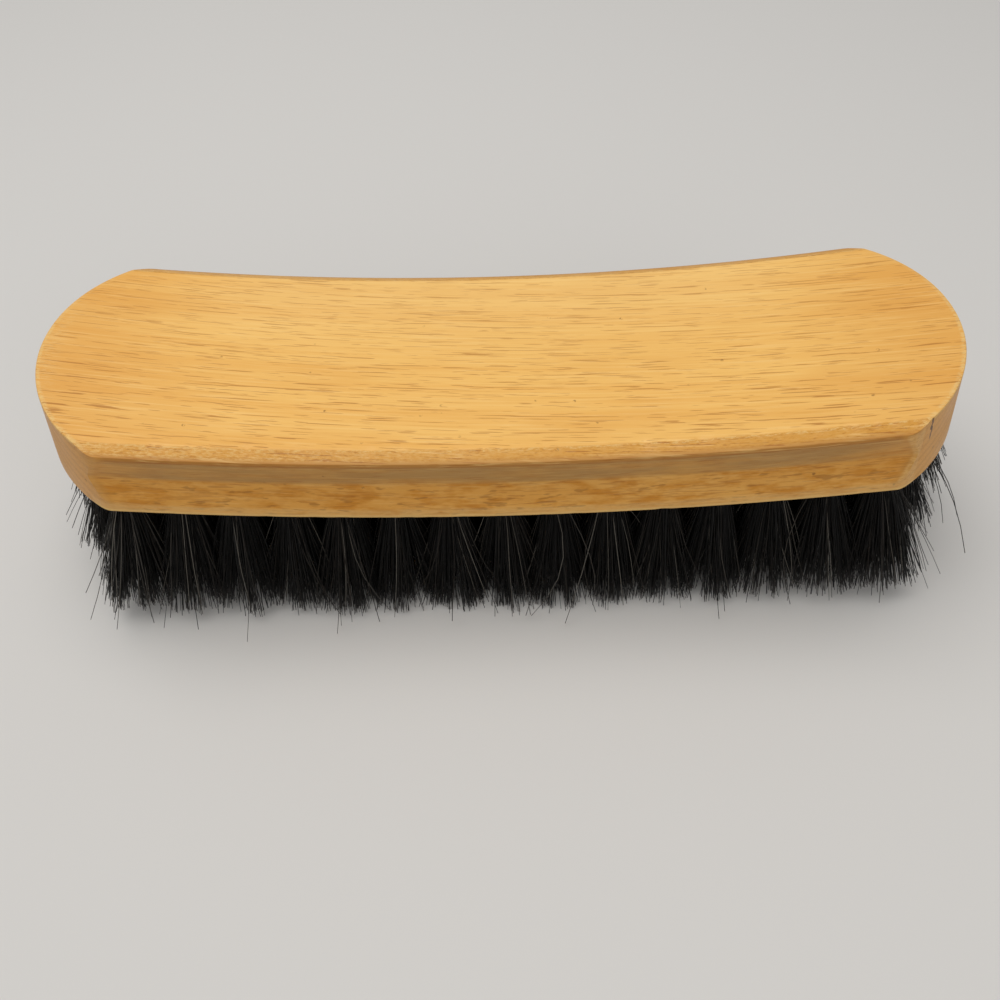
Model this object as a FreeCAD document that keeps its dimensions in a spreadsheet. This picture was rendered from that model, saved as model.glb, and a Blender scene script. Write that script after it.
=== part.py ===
"""A shoe shine brush: a saddle-curved beech block filled with tufts of horsehair.

The block is moulded with a finger groove along each long side and bent to one radius, so its top is
hollow, its underside is round and its ends stand square to the bend. Each tuft is hair folded double over a short piece of flat wire,
the anchor, and driven into a blind hole. The bristles are trimmed to one length, so their tips lie
on a curve about the same centre as the block.

Frame: X along the brush, Y across it, Z up. The origin is on the tips of the bristles, under the
middle of the block.
"""

import FreeCAD, Part
import os
import Sketcher

# Driving sizes, in millimetres and degrees, with the count of tufts in an edge row.
SIZES = {
    "block_length": 172,
    "block_width": 52,
    "block_thickness": 17,
    "curve_radius": 571,
    "end_radius": 30,
    "corner_radius": 5,
    "bevel_width": 2.5,
    "bevel_height": 1.2,
    "lip_height": 0.9,
    "groove_depth": 1.4,
    "groove_round": 3,
    "foot_height": 3.2,
    "foot_round": 1.2,
    "bristle_length": 27,
    "hole_diameter": 5,
    "hole_depth": 9,
    "point_angle": 118,
    "edge_margin": 6,
    "corner_margin": 0.6,
    "edge_lean": 9,
    "edge_tufts": 15,
    "tuft_clearance": 0.05,
    "tip_gap": 0.6,
    "anchor_bite": 0.6,
    "anchor_height": 1.8,
    "anchor_thickness": 0.4,
    "anchor_fold": 1.2,
    "anchor_clearance": 0.02,
    "corner_overrun": 0.05,
    "cut_overrun": 6,
}

# Values worked out from the driving sizes, each a formula in the second sheet.
LAYOUT = {
    "half_length": "Sizes.block_length / 2",
    "half_width": "Sizes.block_width / 2",
    "curve_centre": "Sizes.bristle_length + Sizes.curve_radius",
    "block_top": "Sizes.bristle_length + Sizes.block_thickness",
    "inner_radius": "Sizes.curve_radius - Sizes.block_thickness",
    "end_angle": "asin(half_length / inner_radius)",
    "end_height": "curve_centre - inner_radius * cos(end_angle)",
    "sweep_angle": "2 * asin((half_length + Sizes.cut_overrun) / inner_radius)",
    "corner_side": "half_width + Sizes.corner_overrun",
    "corner_y": "corner_side - Sizes.corner_radius",
    "corner_ring": "Sizes.end_radius - Sizes.corner_radius",
    "corner_reach": "sqrt(corner_ring ^ 2 - corner_y ^ 2)",
    "corner_run": "Sizes.end_radius - corner_reach",
    "corner_angle": "atan(corner_y / corner_reach)",
    "corner_middle": "(90 deg + corner_angle) / 2",
    "bevel_foot": "block_top - Sizes.bevel_height",
    "groove_top": "bevel_foot - Sizes.lip_height",
    "groove_bottom": "Sizes.bristle_length + Sizes.foot_height",
    "groove_middle": "(groove_top + groove_bottom) / 2",
    "groove_slope": "atan(2 * Sizes.groove_depth / (groove_top - groove_bottom))",
    "groove_rise": "Sizes.groove_round * sin(groove_slope)",
    "groove_side": "half_width - Sizes.groove_depth + groove_rise * tan(groove_slope)",
    "groove_floor": "groove_side - Sizes.groove_round * (1 - cos(groove_slope))",
    "round_middle": "Sizes.foot_round * (1 - sin(45 deg))",
    "edge_row": "half_width - Sizes.edge_margin",
    "edge_lean": "Sizes.edge_lean * 1 deg",
    "edge_reach": "end_angle - asin((corner_run + Sizes.corner_margin) / Sizes.curve_radius)",
    "column_step": "edge_reach / (Sizes.edge_tufts - 1)",
    "tip_pitch": "2 * (Sizes.curve_radius + Sizes.bristle_length) * tan(column_step)",
    "tip_radius": "(tip_pitch - Sizes.tip_gap) / 2",
    "cone_length": "(Sizes.bristle_length + 2 * tip_radius) / cos(edge_lean)",
    "cone_share": "cone_length * cos(edge_lean) / Sizes.bristle_length",
    "point_slope": "tan(Sizes.point_angle * 0.5 deg)",
    "hole_radius": "Sizes.hole_diameter / 2",
    "hole_top": "Sizes.hole_depth + hole_radius / point_slope",
    "root_radius": "hole_radius - Sizes.tuft_clearance",
    "root_depth": "Sizes.hole_depth - Sizes.tuft_clearance",
    "root_top": "root_depth + root_radius / point_slope",
    "cone_radius": "root_radius + cone_share * (tip_radius - root_radius)",
    "anchor_half": "hole_radius + Sizes.anchor_bite",
    "anchor_top": "Sizes.hole_depth - Sizes.anchor_fold",
    "anchor_foot": "anchor_top - Sizes.anchor_height",
    "slit_half": "anchor_half + Sizes.anchor_clearance",
    "slit_top": "anchor_top + Sizes.anchor_clearance",
    "slit_foot": "anchor_foot - Sizes.anchor_clearance",
    "slit_thickness": "Sizes.anchor_thickness + 2 * Sizes.anchor_clearance",
}

# The five rows across the brush, front to back: each one's place and lean as a share of the edge
# row's, and how many more tufts it holds than an edge row.
ROWS = {
    "front_edge": (-1.0, 0),
    "front_inner": (-0.5, 1),
    "middle": (0.0, 2),
    "back_inner": (0.5, 1),
    "back_edge": (1.0, 0),
}

doc = FreeCAD.newDocument("shoe_brush")


def add_sheet(name, cells):
    """A spreadsheet with one aliased cell on each line."""
    sheet = doc.addObject("Spreadsheet::Sheet", name)
    for line, (alias, text) in enumerate(cells.items(), start=1):
        sheet.set(f"A{line}", str(text))
        sheet.setAlias(f"A{line}", alias)
    doc.recompute()
    return sheet


sizes = add_sheet("Sizes", SIZES)
layout = add_sheet("Layout", {alias: "=" + formula for alias, formula in LAYOUT.items()})


def value(formula):
    """What a formula in sheet values comes to, as a plain number."""
    found = layout.evalExpression(formula)
    return float(getattr(found, "Value", found))


def new_body(name):
    body = doc.addObject("PartDesign::Body", name)
    body.Label = name
    return body


def new_sketch(body, name, plane, turn=None):
    """A sketch on one of the body's origin planes. With a turn, the upright plane across the brush
    is swung by that angle about the bend axis, towards the +X end."""
    sketch = body.newObject("Sketcher::SketchObject", name)
    support = next(o for o in body.Origin.OriginFeatures if o.Role == plane)
    sketch.AttachmentSupport = (support, [""])
    sketch.MapMode = "FlatFace"
    if turn is not None:
        across = FreeCAD.Rotation(FreeCAD.Vector(1, 0, 0), 1)
        sketch.AttachmentOffset = FreeCAD.Placement(FreeCAD.Vector(), across)
        sketch.setExpression("AttachmentOffset.Rotation.Angle", f"-({turn})")
        sketch.setExpression("AttachmentOffset.Base.y", f"Layout.curve_centre * (1 - cos({turn}))")
        sketch.setExpression("AttachmentOffset.Base.z", f"Layout.curve_centre * sin({turn})")
    return sketch


def arc_through(start, middle, end):
    """The arc through three points, drawn counter-clockwise, and whether that runs start to end."""
    circle = Part.Arc(start, middle, end).toShape().Curve
    circle = Part.Circle(circle.Center, FreeCAD.Vector(0, 0, 1), circle.Radius)
    forward = (middle - start).cross(end - middle).z > 0
    first, last = (start, end) if forward else (end, start)
    return Part.ArcOfCircle(circle, circle.parameter(first), circle.parameter(last)), forward


def hold(sketch, kind, place, formula):
    """A dimension of the sketch that follows a formula in sheet values."""
    number = sketch.addConstraint(Sketcher.Constraint(kind, *place, value(formula)))
    sketch.setExpression(f"Constraints[{number}]", formula)


def draw_outline(sketch, corners, arcs=None):
    """A closed outline through corners, each a pair of formulas. A side is straight unless its first
    corner is listed in arcs, with the middle point and the radius of the arc that it is then."""
    arcs = arcs or {}
    points = [FreeCAD.Vector(value(x), value(y), 0) for x, y in corners]
    sides = []
    for i, start in enumerate(points):
        end = points[(i + 1) % len(points)]
        curve, forward = Part.LineSegment(start, end), True
        if i in arcs:
            x, y, radius = arcs[i]
            curve, forward = arc_through(start, FreeCAD.Vector(value(x), value(y), 0), end)
        side = sketch.addGeometry(curve)
        sides.append((side, 1, 2) if forward else (side, 2, 1))
    for i, (side, first, last) in enumerate(sides):
        following = sides[(i + 1) % len(sides)]
        joint = Sketcher.Constraint("Coincident", side, last, following[0], following[1])
        sketch.addConstraint(joint)
    for i, (side, first, last) in enumerate(sides):
        hold(sketch, "DistanceX", (-1, 1, side, first), corners[i][0])
        hold(sketch, "DistanceY", (-1, 1, side, first), corners[i][1])
        if i in arcs:
            hold(sketch, "Radius", (side,), arcs[i][2])
    return sides


def draw_axis(sketch, side, ends):
    """A construction line along a straight side of the outline, to turn the outline about."""
    line = sketch.addGeometry(Part.LineSegment(*ends), True)
    sketch.addConstraint(Sketcher.Constraint("Coincident", line, 1, side[0], 1))
    sketch.addConstraint(Sketcher.Constraint("Coincident", line, 2, side[0], 2))


def bend_axis(body):
    """The line across the brush that the block is bent round and the columns are spaced about."""
    line = body.newObject("PartDesign::Line", body.Name + "_bend_axis")
    across = FreeCAD.Rotation(FreeCAD.Vector(1, 0, 0), 90)
    line.Placement = FreeCAD.Placement(FreeCAD.Vector(), across)
    line.setExpression("Placement.Base.z", "Layout.curve_centre")
    return line


def beside_hole(share, along, out):
    """A point of a tuft or its hole, by how far it lies out of the hole along the tuft's own line
    and how far to the side of that line. The line leans outwards by the row's share of the lean."""
    lean = f"({share} * Layout.edge_lean)"
    across = f"{share} * Layout.edge_row + ({along}) * sin{lean} + ({out}) * cos{lean}"
    height = f"Sizes.bristle_length - ({along}) * cos{lean} + ({out}) * sin{lean}"
    return across, height


def draw_round(sketch, share, half_section):
    """The half section of a tuft or hole, as pairs along and out. It starts and ends on the line
    that it is to be turned about."""
    corners = [beside_hole(share, along, out) for along, out in half_section]
    sides = draw_outline(sketch, corners)
    ends = [FreeCAD.Vector(value(x), value(y), 0) for x, y in (corners[-1], corners[0])]
    draw_axis(sketch, sides[-1], ends)


def draw_plate(sketch, share, top, foot, half):
    """A rectangle across the hole, square to the tuft's own line."""
    corners = [(top, half), (foot, half), (foot, f"-{half}"), (top, f"-{half}")]
    draw_outline(sketch, [beside_hole(share, along, out) for along, out in corners])


def turn_round(body, kind, name, sketch):
    """The solid, or the cut, that the sketch makes when it is turned about its construction line."""
    feature = body.newObject(kind, name)
    feature.Profile = sketch
    feature.ReferenceAxis = (sketch, ["Axis0"])
    feature.Angle = 360
    return feature


def both_ways(body, kind, name, sketch, thickness):
    """The plate, or the cut, that the sketch makes when it is thickened to both sides alike."""
    feature = body.newObject(kind, name)
    feature.Profile = sketch
    feature.Midplane = True
    feature.setExpression("Length", thickness)
    return feature


def along_row(body, name, features, axis, extra):
    """Copies of the features, one for each tuft of a row, spaced about the bend axis."""
    pattern = body.newObject("PartDesign::PolarPattern", name)
    pattern.Originals = features
    pattern.Axis = (axis, [""])
    pattern.Mode = "Spacing"
    pattern.setExpression("Offset", "2 * Layout.column_step")
    pattern.setExpression("Occurrences", f"Sizes.edge_tufts + {extra}")
    body.Tip = pattern
    doc.recompute()
    return pattern


def row_start(extra):
    """The angle from the middle of the brush to the first hole of a row, at the -X end."""
    return f"(1 - Sizes.edge_tufts - {extra}) * Layout.column_step"


def block_section(body):
    """The moulding across the block: bevelled top edges, finger grooves with two flat flanks and a
    rounded floor, and a foot with a rounded lower edge."""
    sketch = new_sketch(body, "block_section", "YZ_Plane")
    corners = []
    arcs = {}
    for sign in (1, -1):
        side = [
            ("Layout.half_width - Sizes.foot_round", "Sizes.bristle_length"),
            ("Layout.half_width", "Sizes.bristle_length + Sizes.foot_round"),
            ("Layout.half_width", "Layout.groove_bottom"),
            ("Layout.groove_side", "Layout.groove_middle - Layout.groove_rise"),
            ("Layout.groove_side", "Layout.groove_middle + Layout.groove_rise"),
            ("Layout.half_width", "Layout.groove_top"),
            ("Layout.half_width", "Layout.bevel_foot"),
            ("Layout.half_width - Sizes.bevel_width", "Layout.block_top"),
        ]
        side = [(f"{sign} * ({across})", height) for across, height in side]
        foot, floor = (0, 3) if sign > 0 else (14, 11)
        arcs[foot] = (
            f"{sign} * (Layout.half_width - Layout.round_middle)",
            "Sizes.bristle_length + Layout.round_middle",
            "Sizes.foot_round",
        )
        arcs[floor] = (
            f"{sign} * Layout.groove_floor",
            "Layout.groove_middle",
            "Sizes.groove_round",
        )
        corners += side if sign > 0 else side[::-1]
    draw_outline(sketch, corners, arcs)
    return sketch


def end_sketch(body, name, sign):
    """A sketch that lies on the hollow top at one end and is square to the bend there. Its origin is
    the tip of that end, and its X axis runs along the brush."""
    sketch = new_sketch(body, name, "XY_Plane")
    tilt = FreeCAD.Rotation(FreeCAD.Vector(0, -sign, 0), 1)
    sketch.AttachmentOffset = FreeCAD.Placement(FreeCAD.Vector(), tilt)
    sketch.setExpression("AttachmentOffset.Rotation.Angle", "Layout.end_angle")
    sketch.setExpression("AttachmentOffset.Base.x", f"{sign} * Layout.half_length")
    sketch.setExpression("AttachmentOffset.Base.z", "Layout.end_height")
    return sketch


def round_end(body, name, sign):
    """Cuts away what lies outside a rounded end with soft corners, square to the bend."""
    sketch = end_sketch(body, name + "_outline", sign)
    meet_x = "Sizes.end_radius * (cos(Layout.corner_angle) - 1)"
    meet_y = "Sizes.end_radius * sin(Layout.corner_angle)"
    middle_x = "Sizes.corner_radius * cos(Layout.corner_middle) - Layout.corner_run"
    middle_y = "Layout.corner_y + Sizes.corner_radius * sin(Layout.corner_middle)"
    far_x = "2 * Sizes.cut_overrun"
    far_y = "Layout.half_width + Sizes.cut_overrun"
    corners = [
        ("-Layout.corner_run", "Layout.corner_side"),
        (meet_x, meet_y),
        (meet_x, f"-({meet_y})"),
        ("-Layout.corner_run", "-Layout.corner_side"),
        ("-Layout.corner_run", f"-({far_y})"),
        (far_x, f"-({far_y})"),
        (far_x, far_y),
        ("-Layout.corner_run", far_y),
    ]
    arcs = {
        0: (f"{sign} * ({middle_x})", middle_y, "Sizes.corner_radius"),
        1: ("0", "0", "Sizes.end_radius"),
        2: (f"{sign} * ({middle_x})", f"-({middle_y})", "Sizes.corner_radius"),
    }
    draw_outline(sketch, [(f"{sign} * ({x})", y) for x, y in corners], arcs)
    cut = body.newObject("PartDesign::Pocket", name)
    cut.Profile = sketch
    cut.Type = "ThroughAll"
    cut.Midplane = True
    doc.recompute()


def make_block():
    """The wooden block: the moulding bent round, its ends cut to shape, and its holes bored."""
    body = new_body("block")
    axis = bend_axis(body)
    bent = body.newObject("PartDesign::Revolution", "bent_moulding")
    bent.Profile = block_section(body)
    bent.ReferenceAxis = (axis, [""])
    bent.Midplane = True
    bent.setExpression("Angle", "Layout.sweep_angle")
    doc.recompute()
    round_end(body, "right_end", 1)
    round_end(body, "left_end", -1)
    for row, (share, extra) in ROWS.items():
        turn = row_start(extra)
        hole = new_sketch(body, row + "_hole_section", "YZ_Plane", turn)
        draw_round(hole, share, [
            ("-Layout.hole_top", "0"),
            ("-Sizes.hole_depth", "Layout.hole_radius"),
            ("Sizes.cut_overrun", "Layout.hole_radius"),
            ("Sizes.cut_overrun", "0"),
        ])
        bore = turn_round(body, "PartDesign::Groove", row + "_hole", hole)
        slit = new_sketch(body, row + "_slit_outline", "YZ_Plane", turn)
        draw_plate(slit, share, "-Layout.slit_top", "Sizes.cut_overrun", "Layout.slit_half")
        cut = both_ways(body, "PartDesign::Pocket", row + "_slit", slit, "Layout.slit_thickness")
        doc.recompute()
        along_row(body, row + "_holes", [bore, cut], axis, extra)
    return body


def make_anchor_row(row):
    """The anchors of one row: flat wire across each hole, with both ends in the slit."""
    share, extra = ROWS[row]
    body = new_body(row + "_anchors")
    axis = bend_axis(body)
    outline = new_sketch(body, row + "_anchor_outline", "YZ_Plane", row_start(extra))
    draw_plate(outline, share, "-Layout.anchor_top", "-Layout.anchor_foot", "Layout.anchor_half")
    plate = both_ways(body, "PartDesign::Pad", row + "_anchor", outline, "Sizes.anchor_thickness")
    doc.recompute()
    along_row(body, row + "_anchor_row", [plate], axis, extra)
    return body


def make_tuft_column(number, column, rows):
    """The tufts that stand side by side across the brush, trimmed level. The column's place counts
    half pitches from the middle of the brush."""
    body = new_body(f"tuft_column_{number:02d}")
    turn = f"{column} * Layout.column_step"
    for row in rows:
        share = ROWS[row][0]
        name = f"{body.Name}_{row}"
        section = new_sketch(body, name + "_section", "YZ_Plane", turn)
        draw_round(section, share, [
            ("-Layout.root_top", "0"),
            ("-Layout.root_depth", "Layout.root_radius"),
            ("0", "Layout.root_radius"),
            ("Layout.cone_length", "Layout.cone_radius"),
            ("Layout.cone_length", "0"),
        ])
        turn_round(body, "PartDesign::Revolution", name, section)
        doc.recompute()
    trim = new_sketch(body, body.Name + "_trim_outline", "YZ_Plane", turn)
    reach = "Sizes.block_width"
    below = "-Sizes.bristle_length"
    draw_outline(trim, [(reach, "0"), (f"-{reach}", "0"), (f"-{reach}", below), (reach, below)])
    both_ways(body, "PartDesign::Pocket", body.Name + "_trim", trim, "Sizes.block_width")
    doc.recompute()
    slots = new_sketch(body, body.Name + "_slot_outlines", "YZ_Plane", turn)
    for row in rows:
        draw_plate(slots, ROWS[row][0], "-Layout.slit_top", "-Layout.slit_foot", "Layout.slit_half")
    both_ways(body, "PartDesign::Pocket", body.Name + "_slots", slots, "Layout.slit_thickness")
    doc.recompute()
    return body


def make_tuft_columns():
    """Columns in turn along the brush: the middle and edge rows, then the two inner rows, and so on.
    The edge rows are shorter than the middle row, so the end columns hold a middle tuft only."""
    edge_tufts = int(SIZES["edge_tufts"])
    widest = edge_tufts + 1
    bodies = []
    for number, column in enumerate(range(-widest, widest + 1), start=1):
        longest = {row: edge_tufts + extra - 1 for row, (share, extra) in ROWS.items()}
        rows = [r for r in ROWS if abs(column) <= longest[r] and (column - longest[r]) % 2 == 0]
        bodies.append(make_tuft_column(number, column, rows))
    return bodies


bodies = [make_block()]
bodies += [make_anchor_row(row) for row in ROWS]
bodies += make_tuft_columns()
doc.recompute()

for item in doc.Objects:
    if "Invalid" in item.State or "Error" in item.State:
        raise RuntimeError(f"{item.Label} did not recompute: {item.State}")

os.makedirs("parts", exist_ok=True)
for body in bodies:
    shape = body.Tip.Shape
    if shape.isNull() or not shape.isValid():
        raise RuntimeError(f"{body.Label} has no valid shape")
    shape.exportStep(f"parts/{body.Label}.step")
    print(body.Label, len(shape.Solids), "solids", round(shape.Volume), "mm3")
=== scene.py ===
# %% [markdown]
# # A shoe shine brush
# A shine brush is a bent beech block, held by a finger groove along each side, and filled with about
# eighty tufts of black horsehair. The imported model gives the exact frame: block, tufts and the wire
# anchors that hold the tufts. This lesson dresses it. The wood gets a finer skin with worn edges, and
# every tuft becomes loose hair. Lengths are written in millimetres, and turned to metres where they
# reach Blender.

# %% Load the frame
import math
import bmesh
import bpy
import numpy as np
from mathutils import Matrix, Vector


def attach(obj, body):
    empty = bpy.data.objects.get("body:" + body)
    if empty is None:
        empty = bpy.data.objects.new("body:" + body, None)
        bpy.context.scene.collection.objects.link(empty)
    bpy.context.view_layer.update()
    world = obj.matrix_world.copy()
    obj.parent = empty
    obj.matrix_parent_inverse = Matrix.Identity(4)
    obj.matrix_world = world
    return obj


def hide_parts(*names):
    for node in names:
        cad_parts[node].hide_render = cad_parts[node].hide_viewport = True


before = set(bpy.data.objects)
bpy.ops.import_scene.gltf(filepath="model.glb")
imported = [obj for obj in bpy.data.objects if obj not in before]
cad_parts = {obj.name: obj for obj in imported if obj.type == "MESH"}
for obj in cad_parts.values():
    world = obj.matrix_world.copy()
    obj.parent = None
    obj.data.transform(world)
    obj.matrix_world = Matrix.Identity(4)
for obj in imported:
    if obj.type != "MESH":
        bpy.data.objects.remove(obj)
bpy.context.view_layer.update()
MM = 0.001
rng = np.random.default_rng(7)

# %% [markdown]
# ## The camera
# The photograph looks down on the front of the brush from close by. Its edges fix the view: a camera
# was fitted to the corners, the long edges and the two rounded ends, which gives the focal length in
# pixels, the place and three angles. Writing the camera's axes out as vectors keeps those angles
# readable, where a track-to constraint would hide the small roll of the hand-held picture.

# %% Camera
FOCAL_PX, FRAME_PX, SENSOR, NEAR = 979.5, 1000, 36.0, 10.0
EYE = Vector((1.48, -139.2, 174.1))
PITCH, YAW, ROLL = 0.896, -0.017, 0.040


def look_axes(pitch, yaw, roll):
    """Right, up and back vectors of a camera that looks along +Y, then tips down by pitch, turns by
    yaw and rolls about its own line of sight."""
    ahead = Vector((math.sin(yaw) * math.cos(pitch), math.cos(yaw) * math.cos(pitch), -math.sin(pitch)))
    right = Vector((math.cos(yaw), -math.sin(yaw), 0))
    down = ahead.cross(right)
    rolled = math.cos(roll) * right + math.sin(roll) * down
    return rolled, rolled.cross(ahead), -ahead


camera = bpy.data.objects.new("camera", bpy.data.cameras.new("camera"))
camera.data.sensor_width = SENSOR
camera.data.lens = FOCAL_PX / FRAME_PX * SENSOR
camera.data.clip_start = NEAR * MM
camera.matrix_world = Matrix(look_axes(PITCH, YAW, ROLL)).transposed().to_4x4()
camera.location = EYE * MM
bpy.context.collection.objects.link(camera)
scene = bpy.context.scene
scene.camera = camera
scene.view_settings.view_transform = "Standard"
print("lens", round(camera.data.lens, 2), "mm")

# %% [markdown]
# ## Colours and nodes
# Colours are picked as sRGB hex values, which is how a picture stores them. Shaders add light, so they
# need linear values, and one function makes the change. One more function adds a shader node: it sets
# the node's own settings, then links or fills each input, so a whole material reads from top to bottom.

# %% Colour and node helpers
def colour(code):
    """Linear colour of an sRGB hex code: below 0.04045 a straight line, above it a power of 2.4."""
    s = np.array([int(code[i:i + 2], 16) for i in (1, 3, 5)]) / 255
    return (*np.where(s <= 0.04045, s / 12.92, ((s + 0.055) / 1.055) ** 2.4), 1.0)


def add(tree, kind, settings=None, inputs=None):
    """A node with its settings; an input that is a socket is linked and any other value is set."""
    made = tree.nodes.new("ShaderNode" + kind)
    for name, value in (settings or {}).items():
        setattr(made, name, value)
    for name, value in (inputs or {}).items():
        if isinstance(value, bpy.types.NodeSocket):
            tree.links.new(value, made.inputs[name])
        else:
            made.inputs[name].default_value = value
    return made


def new_material(name):
    """A material with its tree and its principled shader."""
    material = bpy.data.materials.new(name)
    material.use_nodes = True
    return material, material.node_tree, material.node_tree.nodes["Principled BSDF"]


print("middle grey in linear light:", round(colour("#808080")[0], 3))

# %% [markdown]
# ## Floor and light
# The brush stands on its own bristles, so the floor lies just under the lowest tips. It is matt paper,
# which has no shine of its own, so only the soft shadow of the brush shows on it. A large soft lamp
# overhead and a pale even sky give a plain studio light. The levels are chosen so that a surface that
# faces up shows about the colour that is written for it.

# %% Floor and light
FLOOR, SKY_LEVEL = 4000.0, 0.42


def lamp(name, place, aim, width, watts):
    """A square area lamp at a place, in mm, that faces a point."""
    light = bpy.data.objects.new(name, bpy.data.lights.new(name, "AREA"))
    light.data.size = width * MM
    light.data.energy = watts
    light.location = Vector(place) * MM
    light.rotation_euler = (Vector(aim) - Vector(place)).to_track_quat("-Z", "Y").to_euler()
    bpy.context.collection.objects.link(light)


lamp("overhead softbox", place=(-120, 50, 700), aim=(0, 0, 30), width=560, watts=3.1)
lamp("front fill", place=(240, -520, 330), aim=(0, 0, 25), width=420, watts=0.55)
world = bpy.data.worlds.new("pale sky")
world.use_nodes = True
world.node_tree.nodes["Background"].inputs["Color"].default_value = colour("#f4f5f7")
world.node_tree.nodes["Background"].inputs["Strength"].default_value = SKY_LEVEL
scene.world = world

half = FLOOR / 2 * MM
floor_mesh = bpy.data.meshes.new("floor")
corners = [(-half, -half, 0), (half, -half, 0), (half, half, 0), (-half, half, 0)]
floor_mesh.from_pydata(corners, [], [(0, 1, 2, 3)])
floor = bpy.data.objects.new("floor", floor_mesh)
bpy.context.collection.objects.link(floor)
paper, tree, shader = new_material("pale studio paper")
shader.inputs["Base Color"].default_value = colour("#d6d3ce")
shader.inputs["Roughness"].default_value = 0.85
floor_mesh.materials.append(paper)

# %% [markdown]
# ## The bend
# The block is moulded straight and bent to one radius, so its top is hollow, its underside round, and
# its ends lean out at the foot. Every height over the underside is a distance from one bend axis far
# above the brush, and every step along the block is an angle about it. It is easiest to work on the
# straight moulding and bend the finished points in one go.

# %% Sizes of the brush and its bend
TOP_LENGTH, WIDTH, THICK, BRISTLE = 172.0, 52.0, 17.0, 27.0
CURVE_R, END_R, CORNER_R = 571.0, 30.0, 5.0
BEND_Z, MIDDLE_R = BRISTLE + CURVE_R, CURVE_R - THICK / 2
END_ANGLE = math.asin(TOP_LENGTH / 2 / (CURVE_R - THICK))
LENGTH = 2 * END_ANGLE * MIDDLE_R


def bend(x, y, h):
    """Points of the bent block: x along the straight block becomes the angle x over MIDDLE_R about
    the bend axis, and the height h over the underside shortens the radius."""
    angle, radius = x / MIDDLE_R, CURVE_R - h
    return np.stack([radius * np.sin(angle), y, BEND_Z - radius * np.cos(angle)], axis=-1)


lean = round(math.degrees(END_ANGLE), 1)
print("straight block:", round(LENGTH, 1), "mm long; ends lean", lean, "degrees")

# %% [markdown]
# ## The block's moulding
# Across the brush the block has a bevelled top edge, a finger groove with two flat flanks, and a foot
# with a rounded bottom edge. A router cuts such a moulding with crisp edges, and years of hands soften
# them. So the section is drawn from lines and arcs, sampled very finely, and averaged over a short run,
# which rounds each arris by a tenth or two of a millimetre and leaves the flats alone. A Bevel modifier
# would need one width for all edges, and the edges along the sides are worn more than those at the ends.

# %% Moulding section
BEVEL_W, BEVEL_H, LIP, FOOT, FOOT_R = 2.5, 1.2, 0.9, 3.2, 1.2
GROOVE, GROOVE_R, RUN_ON = 1.4, 3.0, 1.2
WEAR, FINE, LEVELS, FOOT_POINTS, GROOVE_POINTS = 0.15, 0.02, 64, 40, 30
LIP_TOP, LIP_FOOT = THICK - BEVEL_H, THICK - BEVEL_H - LIP
BEVEL_IN, GROOVE_IN, CREASE = WIDTH / 2 - BEVEL_W, WIDTH / 2 - GROOVE, (FOOT + LIP_FOOT) / 2


def moulding():
    """Half width and height of the section from the underside, round the foot, along the groove and
    over the bevel to the top: lines and arcs at even steps, smoothed by a bell-shaped average."""
    half, slope = WIDTH / 2, math.atan(GROOVE / (LIP_FOOT - CREASE))
    turn = np.radians(np.linspace(-90, 0, FOOT_POINTS))
    sway = np.linspace(-slope, slope, GROOVE_POINTS)
    centre = GROOVE_IN + GROOVE_R / math.cos(slope)
    w = [[half - FOOT_R - RUN_ON], half - FOOT_R + FOOT_R * np.cos(turn), [half]]
    h = [[0.0], FOOT_R + FOOT_R * np.sin(turn), [FOOT]]
    w += [centre - GROOVE_R * np.cos(sway), [half, half, BEVEL_IN, BEVEL_IN - RUN_ON]]
    h += [CREASE + GROOVE_R * np.sin(sway), [LIP_FOOT, LIP_TOP, THICK, THICK]]
    w, h = np.concatenate(w), np.concatenate(h)
    run = np.concatenate([[0], np.cumsum(np.hypot(np.diff(w), np.diff(h)))])
    fine = np.arange(0, run[-1], FINE)
    reach = int(4 * WEAR / FINE)
    bell = np.exp(-0.5 * (np.arange(-reach, reach + 1) * FINE / WEAR) ** 2)
    bell /= bell.sum()
    lines = [np.pad(np.interp(fine, run, v), reach, mode="reflect", reflect_type="odd") for v in (w, h)]
    soft = [np.convolve(line, bell, "valid") for line in lines]
    pick = np.linspace(0, len(fine) - 1, LEVELS).round().astype(int)
    return soft[0][pick], soft[1][pick]


half_width, height = moulding()
in_groove = half_width[(height > FOOT) & (height < LIP_FOOT)]
print("moulding:", LEVELS, "levels; half width in the groove", round(in_groove.min(), 2), "mm")

# %% [markdown]
# ## The block's outline
# Seen from above, the block has straight sides and round ends with soft corners. The ends are sawn and
# sanded after the moulding is run, so the groove and the bevel are cut off where they meet them. One
# outline for each level of the section does that by itself: a narrower level simply meets the corner
# further round. The top and the underside are then stretched over the last outlines as patches, which
# blend the four sides of a rim into a grid.

# %% Block skin
SIDE_N, END_N, CORNER_N, ARC_SHARE = 250, 58, 8, 0.9
TOP_ROUND, FOOT_ROUND, FLAT = 0.35, 1.0, 0.1
ARC_SHARES = np.linspace(-ARC_SHARE, ARC_SHARE, END_N)
CORNER_SHARES = np.linspace(ARC_SHARE, 1, CORNER_N)[1:]
END_SHARES = np.concatenate([-CORNER_SHARES[::-1], ARC_SHARES, CORNER_SHARES])


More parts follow.
